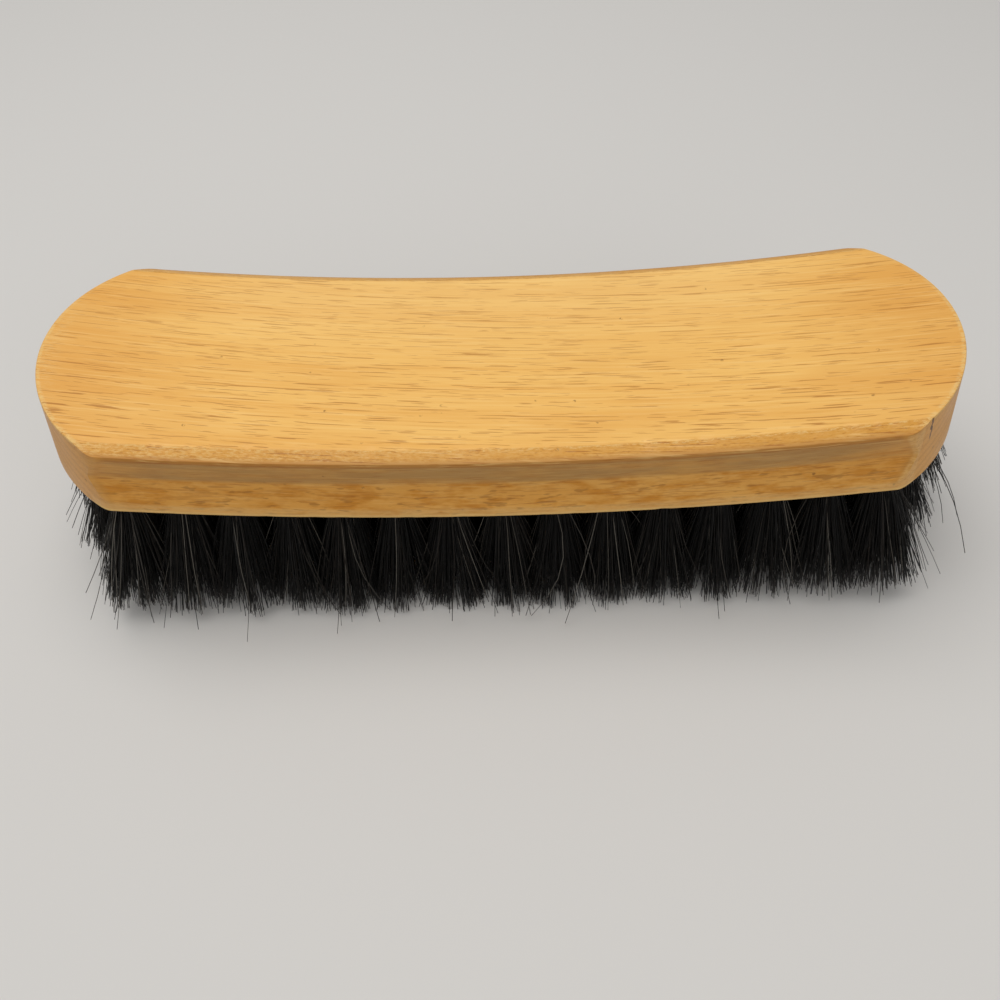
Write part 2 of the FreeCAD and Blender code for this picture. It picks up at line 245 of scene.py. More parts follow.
def outline(w, inset):
    """Plan outline of every level, as four sides of points: front, right, back and left. An end runs
    along its large arc, then past the joint along a corner's small arc, as far out as the level's
    half width allows, and a straight side joins the two ends."""
    w, inset = w[:, None], inset[:, None]
    centre, across = LENGTH / 2 - END_R, WIDTH / 2 - CORNER_R
    reach = math.sqrt((END_R - CORNER_R) ** 2 - across ** 2)
    joint, corner, end = math.atan2(across, reach), CORNER_R - inset, END_R - inset
    on_end = np.arcsin(np.clip(w / end, -1, 1))
    on_corner = np.arcsin(np.clip((w - across) / corner, -1, 1))
    limit = np.where(on_end < joint, end * on_end, end * joint + corner * (on_corner - joint))
    run = np.abs(limit * END_SHARES)
    past = np.clip(run - end * joint, 0, None)
    angle = np.minimum(run / end, joint) + past / corner
    x = centre + np.where(past > 0, reach + corner * np.cos(angle), end * np.cos(angle))
    y = np.where(past > 0, across + corner * np.sin(angle), end * np.sin(angle)) * np.sign(END_SHARES)
    along = np.linspace(-1, 1, SIDE_N + 1)[None] * x[:, :1]
    front = np.stack([along, np.broadcast_to(y[:, :1], along.shape)], axis=-1)
    right = np.stack([x, y], axis=-1)
    return front, right, front * (1, -1), right * (-1, 1)


def rim_patch(front, right, back, left):
    """A grid inside four sides: the blend of front and back, plus that of left and right, less the
    blend of the four corners."""
    s = np.linspace(0, 1, len(front))[:, None, None]
    q = np.linspace(0, 1, len(right))[None, :, None]
    across = (1 - q) * front[:, None] + q * back[:, None]
    along = (1 - s) * left[None] + s * right[None]
    corners = (1 - s) * ((1 - q) * front[0] + q * back[0]) + s * ((1 - q) * front[-1] + q * back[-1])
    return across + along - corners


def grid_faces(rows, columns, start, closed=False):
    """Corner numbers of the squares of a grid of points that are stored row by row."""
    i, j = np.meshgrid(np.arange(rows - 1), np.arange(columns - (not closed)), indexing="ij")
    k = (j + 1) % columns
    square = [i * columns + j, i * columns + k, (i + 1) * columns + k, (i + 1) * columns + j]
    return start + np.stack(square, axis=-1).reshape(-1, 4)


def at_height(points, h):
    """Plan points with a height beside each."""
    return np.concatenate([points, np.broadcast_to(h, points.shape[:-1])[..., None]], axis=-1)


def rounding(radius, depth):
    """How far an edge of that radius has drawn in at a depth into its rounding."""
    return radius - np.sqrt(radius ** 2 - np.clip(depth, 0, radius) ** 2)


# Levels that lie flat on the top or the underside draw in at the ends as far as at the sides.
flat = np.clip(np.where(height > THICK / 2, BEVEL_IN, WIDTH / 2 - FOOT_R) - half_width, 0, None)
flat *= (height > THICK - FLAT) | (height < FLAT)
inset = rounding(TOP_ROUND, height - THICK + TOP_ROUND) + rounding(FOOT_ROUND, FOOT_ROUND - height) + flat
sides = outline(half_width, inset)
front, right, back, left = sides
loop = np.concatenate([front[:, :-1], right[:, :-1], back[:, :0:-1], left[:, :0:-1]], axis=1)
wall = at_height(loop, height[:, None])
top = at_height(rim_patch(*(side[-1] for side in sides)), height[-1])
under = at_height(rim_patch(*(side[0] for side in sides)), height[0])
skin = np.concatenate([wall.reshape(-1, 3), top.reshape(-1, 3), under.reshape(-1, 3)])
walls, caps = wall[..., 0].size, top[..., 0].size
squares = np.concatenate([
    grid_faces(*wall.shape[:2], 0, closed=True),
    grid_faces(*top.shape[:2], walls),
    grid_faces(*under.shape[:2], walls + caps),
])
print("block skin:", len(skin), "points,", len(squares), "squares")

# %% [markdown]
# ## Wear
# The edges of a used brush are bruised: the arris along the front has small chips where it has been
# knocked against a shoe box, and the top has shallow dents. Each mark is a bell-shaped dip pressed into
# the points around it. Marks in the mesh catch the light from every side, which a painted line doesn't.

# %% Dents and chips
def marks(count, x, y, h, size, depth, push):
    """Random dips: their places, spreads, depths and the direction that each pushes the wood in."""
    low, high = np.array([x, y, h, size, depth]).T
    return np.concatenate([rng.uniform(low, high, (count, 5)), np.tile(push, (count, 1))], axis=1)


def press(points, dips):
    """Moves each point by the sum over the dips of depth times exp(-distance squared over twice the
    spread squared), along each dip's own direction."""
    away = ((points[:, None, :] - dips[None, :, :3]) ** 2).sum(axis=-1)
    depth = dips[:, 4] * np.exp(-away / (2 * dips[:, 3] ** 2))
    return points + depth @ dips[:, 5:8]


ARRIS_RUN, FOOT_RUN, TOP_RUN, TOP_SIDES = (-74, 74), (-72, 72), (-78, 78), (-22, 22)
KNOCKED_RUN, KNOCKED_SIDES, CHUNKS = (-78.5, -73.5), (-24.8, -21.5), 40
side, arris, foot = WIDTH / 2, (THICK - 0.2, THICK + 0.1), (0.5, FOOT - 0.6)
bruises = {
    "front arris": marks(60, ARRIS_RUN, (-BEVEL_IN - 0.2, -BEVEL_IN + 0.2), arris, size=(0.25, 0.8),
                         depth=(0.04, 0.20), push=(0, 0.4, -0.8)),
    "back arris": marks(24, ARRIS_RUN, (BEVEL_IN - 0.2, BEVEL_IN + 0.2), arris, size=(0.25, 0.7),
                        depth=(0.03, 0.10), push=(0, -0.4, -0.8)),
    "front foot": marks(24, FOOT_RUN, (-side - 0.1, -side + 0.2), foot, size=(0.4, 0.9),
                        depth=(0.04, 0.14), push=(0, 1, 0.2)),
    "back foot": marks(14, FOOT_RUN, (side - 0.2, side + 0.1), foot, size=(0.4, 0.9),
                       depth=(0.04, 0.12), push=(0, -1, 0.2)),
    "top": marks(40, TOP_RUN, TOP_SIDES, (THICK, THICK), size=(0.4, 1.2), depth=(0.02, 0.08),
                 push=(0, 0, -1)),
    "front left corner": marks(9, KNOCKED_RUN, KNOCKED_SIDES, (THICK - 0.4, THICK), size=(0.35, 0.7),
                               depth=(0.08, 0.24), push=(0.4, 0.5, -0.6)),
}
dips = np.concatenate(list(bruises.values()))
# In chunks, because every point is set against every dip.
skin = np.concatenate([press(part, dips) for part in np.array_split(skin, CHUNKS)])
skin = bend(skin[:, 0], skin[:, 1], skin[:, 2])
print(len(dips), "marks pressed in:", ", ".join(bruises))

# %% [markdown]
# ## Where the tufts stand
# The holes are bored in five staggered rows, and the outer rows lean outwards so that the bristles
# spread wider than the block. The places follow the same rule as in the model: columns at equal angles
# about the bend axis, with rows at shares of the edge row's distance from the middle.

# %% Tuft layout
EDGE_ROW, EDGE_LEAN, EDGE_TUFTS, HOLE_R, HOLE_DEPTH = 20.0, math.radians(9), 15, 2.5, 9.0
CORNER_GAP, CORNER_OVERRUN = 0.6, 0.05
corner_run = END_R - math.sqrt((END_R - CORNER_R) ** 2 - (WIDTH / 2 + CORNER_OVERRUN - CORNER_R) ** 2)
COLUMN_STEP = (END_ANGLE - math.asin((corner_run + CORNER_GAP) / CURVE_R)) / (EDGE_TUFTS - 1)
LAST = {-1.0: EDGE_TUFTS - 1, -0.5: EDGE_TUFTS, 0.0: EDGE_TUFTS + 1, 0.5: EDGE_TUFTS, 1.0: EDGE_TUFTS - 1}
columns = {}
for column in range(-LAST[0], LAST[0] + 1):
    held = [abs(column) <= last and (column - last) % 2 == 0 for last in LAST.values()]
    columns[column] = [share for share, here in zip(LAST, held) if here]


def swing(points, column):
    """Turns points of the middle column about the bend axis to where that column stands."""
    angle = column * COLUMN_STEP
    x, drop = points[..., 0], BEND_Z - points[..., 2]
    return np.stack([x * math.cos(angle) + drop * math.sin(angle), points[..., 1],
                     BEND_Z + x * math.sin(angle) - drop * math.cos(angle)], axis=-1)


def tuft_axes(share):
    """Mouth of a hole in the middle column, the line along the tuft, and the line across it."""
    lean = share * EDGE_LEAN
    mouth, line = np.array([0, share * EDGE_ROW, BRISTLE]), np.array([0, math.sin(lean), -math.cos(lean)])
    return mouth, line, np.array([0, math.cos(lean), math.sin(lean)])


print(sum(len(rows) for rows in columns.values()), "tufts in", len(columns), "columns")

# %% [markdown]
# ## Making meshes
# A mesh is filled straight from arrays. The holes are cut out of the block by one Boolean with all the
# drills in a single cutter: that keeps the skin closed, and Blender's manifold solver does it at once.

# %% Block object
DOUBLED, SHARP = 0.002, math.radians(33)
DRILL_SIDES, DRILL_OUT, DRILL_TAIL, DRILL_POINT = 20, 3.0, 1.0, 1.5


def mesh_object(name, points, faces):
    """A smooth mesh object from points in mm and faces with equally many corners each."""
    mesh = bpy.data.meshes.new(name)
    mesh.vertices.add(len(points))
    mesh.vertices.foreach_set("co", (points * MM).astype(np.float32).ravel())
    mesh.loops.add(faces.size)
    mesh.loops.foreach_set("vertex_index", faces.astype(np.int32).ravel())
    mesh.polygons.add(len(faces))
    mesh.polygons.foreach_set("loop_start", np.arange(0, faces.size, faces.shape[1], dtype=np.int32))
    mesh.update(calc_edges=True)
    mesh.shade_smooth()
    made = bpy.data.objects.new(name, mesh)
    bpy.context.collection.objects.link(made)
    return made


def weld(made):
    """Joins doubled points along seams and turns all faces outwards."""
    work = bmesh.new()
    work.from_mesh(made.data)
    bmesh.ops.remove_doubles(work, verts=work.verts, dist=DOUBLED * MM)
    bmesh.ops.recalc_face_normals(work, faces=work.faces)
    work.to_mesh(made.data)
    work.free()


def drills(sides):
    """One closed drill for each hole: a ring carried along the tuft's line from below the mouth up to
    the shoulder, with a point at each end."""
    ring = np.linspace(0, 2 * np.pi, sides, endpoint=False)
    places = []
    for column, rows in columns.items():
        for share in rows:
            mouth, line, across = tuft_axes(share)
            rim = HOLE_R * (np.cos(ring)[:, None] * across + np.sin(ring)[:, None] * np.array([1, 0, 0]))
            rings = [*(mouth + DRILL_OUT * line + rim), *(mouth - HOLE_DEPTH * line + rim)]
            tail, point = DRILL_OUT + DRILL_TAIL, HOLE_DEPTH + DRILL_POINT
            stack = [mouth + tail * line, *rings, mouth - point * line]
            places.append(swing(np.array(stack), column))
    k = np.arange(sides)
    after = (k + 1) % sides
    low, high = 1 + k, 1 + sides + k
    low2, high2 = 1 + after, 1 + sides + after
    start, stop = 0 * k, 0 * k + 1 + 2 * sides
    corners = [(start, low, low2), (low, high, low2), (low2, high, high2), (high, stop, high2)]
    faces = np.concatenate([np.stack(triangle, axis=1) for triangle in corners])
    faces = np.concatenate([faces + i * (2 * sides + 2) for i in range(len(places))])
    return mesh_object("drills", np.concatenate(places), faces)


block = mesh_object("block_skin", skin, squares)
weld(block)
cutter = drills(DRILL_SIDES)
weld(cutter)
bore = block.modifiers.new("bored holes", "BOOLEAN")
bore.object, bore.solver = cutter, "MANIFOLD"
bored = bpy.data.meshes.new_from_object(block.evaluated_get(bpy.context.evaluated_depsgraph_get()))
block.modifiers.clear()
block.data = bored
bored.shade_smooth()
bored.set_sharp_from_angle(angle=SHARP)
bpy.data.objects.remove(cutter)
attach(block, "root")
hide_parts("block")
print("block:", len(bored.polygons), "faces after boring")

# %% [markdown]
# ## Varnished beech
# Beech is pale and even, with thin dark dashes along the grain and faint bands where the year rings
# surface. Under an old clear varnish it turns honey orange. A picture of wood would stretch on a bent,
# moulded block, so the wood is drawn in the solid, from the object's own coordinates in millimetres.
# Arithmetic nodes turn them into the block's own measures: the way along the bend, the level over the
# underside, and the reach from the centre of an end's arc.

# %% Measures of the block
beech, tree, shader = new_material("varnished beech")
place = add(tree, "TexCoord").outputs["Object"]
place = add(tree, "VectorMath", {"operation": "SCALE"}, {0: place, "Scale": 1 / MM}).outputs[0]
x, y, z = add(tree, "SeparateXYZ", None, {0: place}).outputs
drop = add(tree, "Math", {"operation": "SUBTRACT"}, {0: BEND_Z, 1: z}).outputs[0]
from_axis = add(tree, "CombineXYZ", None, {0: x, 1: drop}).outputs[0]
radius = add(tree, "VectorMath", {"operation": "LENGTH"}, {0: from_axis}).outputs["Value"]
level = add(tree, "Math", {"operation": "SUBTRACT"}, {0: CURVE_R, 1: radius}).outputs[0]
angle = add(tree, "Math", {"operation": "ARCTAN2"}, {0: x, 1: drop}).outputs[0]
along = add(tree, "Math", {"operation": "MULTIPLY"}, {0: angle, 1: MIDDLE_R}).outputs[0]
grain = add(tree, "CombineXYZ", None, {0: along, 1: y, 2: level}).outputs[0]
aside = add(tree, "Math", {"operation": "ABSOLUTE"}, {0: y}).outputs[0]
ahead = add(tree, "Math", {"operation": "ABSOLUTE"}, {0: along}).outputs[0]
past = add(tree, "Math", {"operation": "SUBTRACT"}, {0: ahead, 1: LENGTH / 2 - END_R}).outputs[0]
past = add(tree, "Math", {"operation": "MAXIMUM"}, {0: past, 1: 0.0}).outputs[0]
from_centre = add(tree, "CombineXYZ", None, {0: past, 1: y}).outputs[0]
end_reach = add(tree, "VectorMath", {"operation": "LENGTH"}, {0: from_centre}).outputs["Value"]
print("block measures:", len(tree.nodes), "nodes")

# %% [markdown]
# ### Which face is which
# Each face of the moulding is coloured in its own way, so the shader has to know where it is. Painted
# masks or face groups would be cut off hard. Smooth steps in the measures fade from face to face over
# a few tenths of a millimetre, like the wear on the edges, and the product of a few marks off a face.

# %% Faces of the block
def where(*edges, on=None):
    """The product of smooth steps, each from 0 to 1 while its measure goes from one value to another,
    or between two given shares, and of a face that was marked off before."""
    product = on
    for measure, *limits in edges:
        ends = dict(zip(("From Min", "From Max", "To Min", "To Max"), limits), Value=measure)
        step = add(tree, "MapRange", {"interpolation_type": "SMOOTHSTEP"}, ends).outputs[0]
        if product is not None:
            step = add(tree, "Math", {"operation": "MULTIPLY"}, {0: product, 1: step}).outputs[0]
        product = step
    return product


GROOVE_END = LENGTH / 2 - END_R + math.sqrt(END_R ** 2 - GROOVE_IN ** 2)
under_lip = where((level, LIP_FOOT + 0.35, LIP_FOOT + 0.05))
on_side = where((aside, GROOVE_IN - 0.6, GROOVE_IN - 0.2), (ahead, GROOVE_END + 0.5, GROOVE_END - 0.2),
                on=under_lip)
on_end = where((end_reach, END_R - 1.3, END_R - 0.5), (level, THICK, THICK - 0.5))
on_bevel = where((aside, BEVEL_IN - 0.3, BEVEL_IN + 0.1), (level, LIP_TOP + 0.1, LIP_TOP + 0.4))
print("the groove runs out", round(GROOVE_END, 1), "mm from the middle")

# %% [markdown]
# ### Wood, handling and painted light
# The wood is one honey tone with broad, faint bands. It is darkened towards the ends as painted shade,
# and paler along the back as a painted sheen. Hands and polish have coloured its faces: the lower flank of
# the groove is a deeper orange and mottled, and a brown line runs under the bevel. The upper flank is
# tinted grey as a painted reflection of steel below it, and the bevel is a darker orange as painted shade.
# Each is a thin stain over the last, as the marks of handling are on the real block.

# %% Wood tones and sides
def cloud(vector, size, detail=2.0, rough=0.5, turn=0.0):
    """A soft noise with patches of about that size in mm along the grain, across it and upwards, turned
    by some degrees about the upright axis."""
    spread = {0: vector, "Rotation": (0, 0, math.radians(turn)), "Scale": size}
    spread = add(tree, "Mapping", {"vector_type": "TEXTURE"}, spread).outputs[0]
    shape = {"Vector": spread, "Scale": 1.0, "Detail": detail, "Roughness": rough}
    return add(tree, "TexNoise", None, shape).outputs["Fac"]


def stain(wood, code, *shares):
    """The wood, tinted towards a colour by the product of some shares."""
    amount = shares[0]
    for share in shares[1:]:
        amount = add(tree, "Math", {"operation": "MULTIPLY"}, {0: amount, 1: share}).outputs[0]
    return add(tree, "Mix", {"data_type": "RGBA"}, {0: amount, 6: wood, 7: colour(code)}).outputs[2]


bands = cloud(grain, (150, 5, 5), 3.0, 0.55, turn=-3)
wood = stain(colour("#ecb158"), "#f2bd66", where((bands, 0.35, 0.65)))
broad_patches = where((cloud(grain, (36, 16, 16)), 0.45, 0.75))
wood = stain(wood, "#e0a047", broad_patches, 0.40)
# Painted shade: the wood is darkened towards both ends, where the bent top turns from the light.
painted_shade_ends = where((ahead, 52, 88))
wood = stain(wood, "#d48e36", painted_shade_ends, 0.40)
# Painted sheen: the back of the block is paler, standing in for the glare of the sky on the varnish.
painted_sheen_back = where((y, -4, 20), (ahead, 78, 40))
wood = stain(wood, "#f8cd80", painted_sheen_back, 0.45)
blotches = where((cloud(grain, (6, 6, 2.4), 3.0, 0.6), 0.42, 0.68, 0.45, 0.9))
wood = stain(wood, "#c67e10", on_side, blotches)
mottle = cloud(grain, (7.5, 7.5, 0.6), 3.0, 0.65)
wood = stain(wood, "#a3620e", on_side, where((mottle, 0.52, 0.68)), 0.40)
wood = stain(wood, "#dea548", on_side, where((mottle, 0.44, 0.30)), 0.35)
smudges = where((cloud(grain, (4, 4, 0.9)), 0.61, 0.70), (level, CREASE, CREASE - 0.8), on=on_side)
wood = stain(wood, "#8e5814", smudges, 0.50)
# Painted reflection: the upper flank faces down, so it is tinted grey like steel seen in its varnish.
upper = where((level, CREASE - 0.6, CREASE + 0.6), (ahead, 76, 60, 0.35, 1.0), on=on_side)
painted_steel_reflection = where((cloud(grain, (24, 9, 3)), 0.25, 0.65, 0.40, 0.80))
wood = stain(wood, "#a98148", upper, painted_steel_reflection)
# Painted shade: the bevel is stained a darker, deeper orange than the top.
wood = stain(wood, "#cb8a20", on_bevel, 0.75)
# A darker brown line along the lip, just under the bevel.
lip_line = where((level, LIP_FOOT - 0.1, LIP_FOOT + 0.2), (level, LIP_TOP + 0.7, LIP_TOP - 0.1),
                 (aside, GROOVE_IN, GROOVE_IN + 0.6))
wood = stain(wood, "#9c6018", lip_line, 0.8)
print("wood tones and sides:", len(tree.nodes), "nodes")

# %% [markdown]
# ### End grain
# The end faces are sawn across the grain, so they look duller and show the year rings as arcs. A wave
# texture with rings about the grain's own direction gives them: about two millimetres apart, round a pith
# that lies well outside the block, as in a board sawn from a thick trunk. At a scale of 1 the texture
# turns through 20 radians in each millimetre, so its scale is worked out from the ring's width.

# %% End grain
PITH, RING = (0.0, -9.0, 38.0), 2.2
wood = stain(wood, "#ca8e3c", on_end, 0.7)
from_pith = add(tree, "VectorMath", {"operation": "ADD"}, {0: grain, 1: PITH}).outputs[0]
ring_scale = 2 * math.pi / (20 * RING)
ring_shape = {"Vector": from_pith, "Scale": ring_scale, "Distortion": 1.5, "Detail Scale": 0.3}
rings = add(tree, "TexWave", {"wave_type": "RINGS", "rings_direction": "X"}, ring_shape).outputs["Fac"]
wood = stain(wood, "#b0752a", on_end, where((rings, 0.35, 1.0)), 0.28)
print("year rings every", RING, "mm")

# %% [markdown]
# ### Grain
# The dashes are two noises, stretched far along the grain and cut off high, so only thin streaks are
# left, a sixth of a millimetre wide and two to four long. Real ones are about half as wide: they are
# drawn coarser here, because finer ones run together in the render. A third, longer noise gives the
# fibres between them. Each only tints what is there, because beech has little contrast. Scattered dark
# specks are old dents that polish has filled.

# %% Grain
SPECKS_PER_MM = 0.28
# The grain is fainter on the sides and the ends.
calm = where((on_side, 0.0, 1.0, 1.0, 0.4), (on_end, 0.0, 1.0, 1.0, 0.25))
fibres = cloud(grain, (20, 0.5, 0.5), 3.0, 0.6, turn=-3)
wood = stain(wood, "#cf8e38", where((fibres, 0.52, 0.72), on=calm), 0.32)
wood = stain(wood, "#f9d086", where((fibres, 0.48, 0.30), on=calm), 0.38)
long_dashes = where((cloud(grain, (11.0, 0.38, 0.38), 1.0, 0.5, turn=-3), 0.645, 0.68))
short_dashes = where((cloud(grain, (6.0, 0.30, 0.30), 1.0, 0.5, turn=-3.5), 0.652, 0.69, 0.0, 0.8))
dashes = add(tree, "Math", {"operation": "MAXIMUM"}, {0: long_dashes, 1: short_dashes}).outputs[0]
dash_depth = where((calm, 0.25, 1.0, 0.35, 0.62), (y, -16, 10, 1.0, 0.75))
wood = stain(wood, "#a05c0e", dashes, dash_depth)
cells = {"Vector": grain, "Scale": SPECKS_PER_MM, "Randomness": 1.0}
specks = add(tree, "TexVoronoi", {"feature": "F1"}, cells)
chosen = add(tree, "SeparateXYZ", None, {0: specks.outputs["Color"]}).outputs["X"]
speck_edge = cloud(grain, (0.5, 0.5, 0.5))
speck = where((specks.outputs["Distance"], 0.13, 0.05), (chosen, 0.76, 0.80), (speck_edge, 0.4, 0.6))
wood = stain(wood, "#7a4d1c", speck, 0.7)
print("grain:", len(tree.nodes), "nodes")

# %% [markdown]
# ### Worn places
# Where the varnish has worn through, along the bevel, the foot and the corners, the wood is pale and
# dry. A ragged noise breaks these patches up. They are gathered into one share, because the bare wood
# is duller as well as paler.

# %% Worn places
ragged = cloud(grain, (1.1, 0.3, 0.3), 4.0, 0.7)
bevel_grime = where((ragged, 0.45, 0.33), on=on_bevel)
wood = stain(wood, "#a5661a", bevel_grime, 0.5)
worn = where((along, 20, -70, 0.2, 0.75), (ragged, 0.45, 0.62), on=on_bevel)
patches = {
    "top arris": where((aside, BEVEL_IN + 0.7, BEVEL_IN + 0.15), (ragged, 0.45, 0.62), on=on_bevel),
    "foot": where((level, FOOT + 0.3, FOOT - 0.6), (aside, GROOVE_IN - 0.8, GROOVE_IN + 0.2),
                  (ragged, 0.30, 0.60, 0.15, 0.50)),
    "foot edge": where((level, FOOT_R + 0.8, FOOT_R - 0.1, 0.0, 0.95),
                       (aside, GROOVE_IN - 0.8, GROOVE_IN + 0.2), (ragged, 0.25, 0.45, 0.6, 1.0)),
    "end arris": where((end_reach, END_R - 1.1, END_R - 0.5), (level, THICK - 0.9, THICK - 0.4),
                       (y, 20, 0, 0.3, 1.0), (ragged, 0.42, 0.54)),
    "left end": where((end_reach, END_R - 5.0, END_R - 1.5, 0.0, 0.5), (level, THICK - 0.6, THICK - 0.2),
                      (aside, 15, 6), (along, 0, -1), (ragged, 0.46, 0.62)),
    "upright edge": where((aside, GROOVE_IN - 0.3, GROOVE_IN), (end_reach, END_R - 0.7, END_R - 0.3),
                          (level, THICK - 1, THICK - 2), (along, -1, 1, 0.3, 1.0),
                          (ragged, 0.35, 0.60, 0.1, 0.6)),
}
for patch in patches.values():
    worn = add(tree, "Math", {"operation": "MAXIMUM"}, {0: worn, 1: patch}).outputs[0]
wood = stain(wood, "#e9c27c", worn, 0.75)
print("worn places:", ", ".join(patches))

# %% [markdown]
# ### A crack
# One end has dried out and cracked. The crack is a line at one angle about the end's centre, with a
# little wander, and it gapes at the top. Cutting it into the mesh would take far more points than the
# rest of the end, for a line a third of a millimetre wide.

# %% Crack
CRACK_TURN, CRACK_WANDER, CRACK_FOOT, GAPE, GAPE_DEPTH = math.radians(-51.6), 0.02, 10.5, 0.3, 2.2
turned = add(tree, "Math", {"operation": "ARCTAN2"}, {0: y, 1: past}).outputs[0]
turns = CRACK_TURN - CRACK_WANDER, CRACK_TURN + CRACK_WANDER
wander = where((cloud(grain, (3, 3, 3)), 0.2, 0.8, *turns))
off_line = add(tree, "Math", {"operation": "SUBTRACT"}, {0: turned, 1: wander}).outputs[0]
off_line = add(tree, "Math", {"operation": "ABSOLUTE"}, {0: off_line}).outputs[0]
gape = where((level, THICK - GAPE_DEPTH, THICK, 0.0, -GAPE))
gape = add(tree, "Math", {"operation": "MULTIPLY_ADD"}, {0: off_line, 1: END_R, 2: gape}).outputs[0]
crack = where((gape, 0.24, 0.10), (level, CRACK_FOOT, CRACK_FOOT + 1.5), (along, 0, 1), on=on_end)
wood = stain(wood, "#4a2c10", crack, 0.9)
print("crack:", round(THICK - CRACK_FOOT, 1), "mm long")

# %% [markdown]
# ### Varnish
# A worn clear varnish is satin: smooth enough for a soft sheen, dull where it has gone. The dashes are
# open pores, so they dip a few hundredths of a millimetre, and the surface ripples along the fibres.
# Relief that fine is left to a bump node, while every edge and dent is in the mesh.

# %% Varnish
PORE_DEPTH = 0.08
tree.links.new(wood, shader.inputs["Base Color"])
gloss = where((cloud(grain, (16, 10, 10), 3.0), 0.3, 0.7, 0.38, 0.50))
dull = where((worn, 0.0, 1.0, 0.0, 0.7))
rough = add(tree, "Math", {"operation": "MAXIMUM"}, {0: gloss, 1: dull}).outputs[0]
tree.links.new(rough, shader.inputs["Roughness"])
shader.inputs["IOR"].default_value = 1.5
shader.inputs["Specular IOR Level"].default_value = 0.32
relief = add(tree, "Math", {"operation": "MULTIPLY"}, {0: dashes, 1: -0.5}).outputs[0]
relief = add(tree, "Math", {"operation": "MULTIPLY_ADD"}, {0: fibres, 1: 0.6, 2: relief}).outputs[0]
relief = add(tree, "Math", {"operation": "MULTIPLY_ADD"}, {0: worn, 1: ragged, 2: relief}).outputs[0]
bump = add(tree, "Bump", None, {"Height": relief, "Strength": 0.4, "Distance": PORE_DEPTH * MM})
tree.links.new(bump.outputs[0], shader.inputs["Normal"])
bored.materials.clear()
bored.materials.append(beech)
print("varnished beech:", len(tree.nodes), "nodes")

# %% [markdown]
# ## Horsehair
# Horsehair is about 0.2 mm thick, stiff and slightly wavy. Bristles are black to dark brown, with a grey
# hair here and there, and shine along their length. Each hair carries a tone and the way along itself as
# attributes of its mesh, so one material colours them all, and the cut ends are paler.

# %% Hair material
hair, tree, shader = new_material("black horsehair")
tone = add(tree, "Attribute", {"attribute_name": "hair_tone"}).outputs["Fac"]
along_hair = add(tree, "Attribute", {"attribute_name": "hair_along"}).outputs["Fac"]
shades = add(tree, "ValToRGB", None, {"Fac": tone})
stops = [(0.0, "#030303"), (0.55, "#070605"), (0.80, "#14100d"), (0.93, "#2d2823"), (1.0, "#69645c")]
shades.color_ramp.elements[0].color = colour(stops[0][1])
shades.color_ramp.elements[1].color = colour(stops[-1][1])
for at, code in stops[1:-1]:
    shades.color_ramp.elements.new(at).color = colour(code)
hair_colour = stain(shades.outputs["Color"], "#2e2620", where((along_hair, 0.95, 1.0)), 0.6)
tree.links.new(hair_colour, shader.inputs["Base Color"])
shader.inputs["Roughness"].default_value = 0.34
shader.inputs["Specular IOR Level"].default_value = 0.20
shader.inputs["IOR"].default_value = 1.55
print("black horsehair:", len(stops), "shades")

# %% [markdown]
# ## Growing the tufts
# A tuft is folded in half and packed into its hole, so its hairs stand parallel at the mouth and fan out
# from there. A particle system would grow hair, but it can't be kept as a mesh with its own places, so
# all hairs of a tuft are worked out at once. Each starts at a point of the hole's disc and ends at the
# same point of a larger disc, with a small bend and wave of its own. Neighbours cling together in locks,
# so tips are drawn towards a few lock centres. The brush was trimmed after filling, so each hair ends on
# the trim surface, less a little unevenness.

# %% Tuft paths
RINGS, TIP_R, TIP_STRETCH, MOUTH_R, ROOT = 7, 6.2, 1.3, 2.2, 3.0
# How hairs crowd to the rim and cling to locks, and how far a tuft and a tip stand off their places.
RIM_CROWD, LOCKS, LOCK_REACH, LOCK_PULL = 0.45, 9, 0.9, 0.28
TIP_VARY, TIP_SHIFT, TUFT_SHIFT = 0.08, 0.40, 0.35
# Strays and loose hairs: their share of a tuft, how far their tips move, and their least tone. Loose
# hairs cross their neighbours only where the tuft is splayed by less than a small flare.
STRAY_SHARE, STRAY_OUT, STRAY_SHORT, STRAY_TONE = 0.13, 2.4, 3.0, 0.7
LOOSE_SHARE, LOOSE_OUT, LOOSE_CROSS, LOOSE_TONE, SMALL_FLARE = 0.015, 1.5, 6.0, 0.88, 0.3
# Unevenness of the trimmed ends, the least that is trimmed off, and the size of each hair's bow and wave.
UNEVEN, TRIMMED, BOW, WAVE = 0.7, 0.08, 0.45, 0.12
# Ranges: the power by which a hair fans out, how many waves it has, and its share of the flare.
FAN_POWERS, WAVE_COUNTS, FLARE_SHARES = (0.85, 1.35), (0.8, 1.8), (-0.35, 1.35)


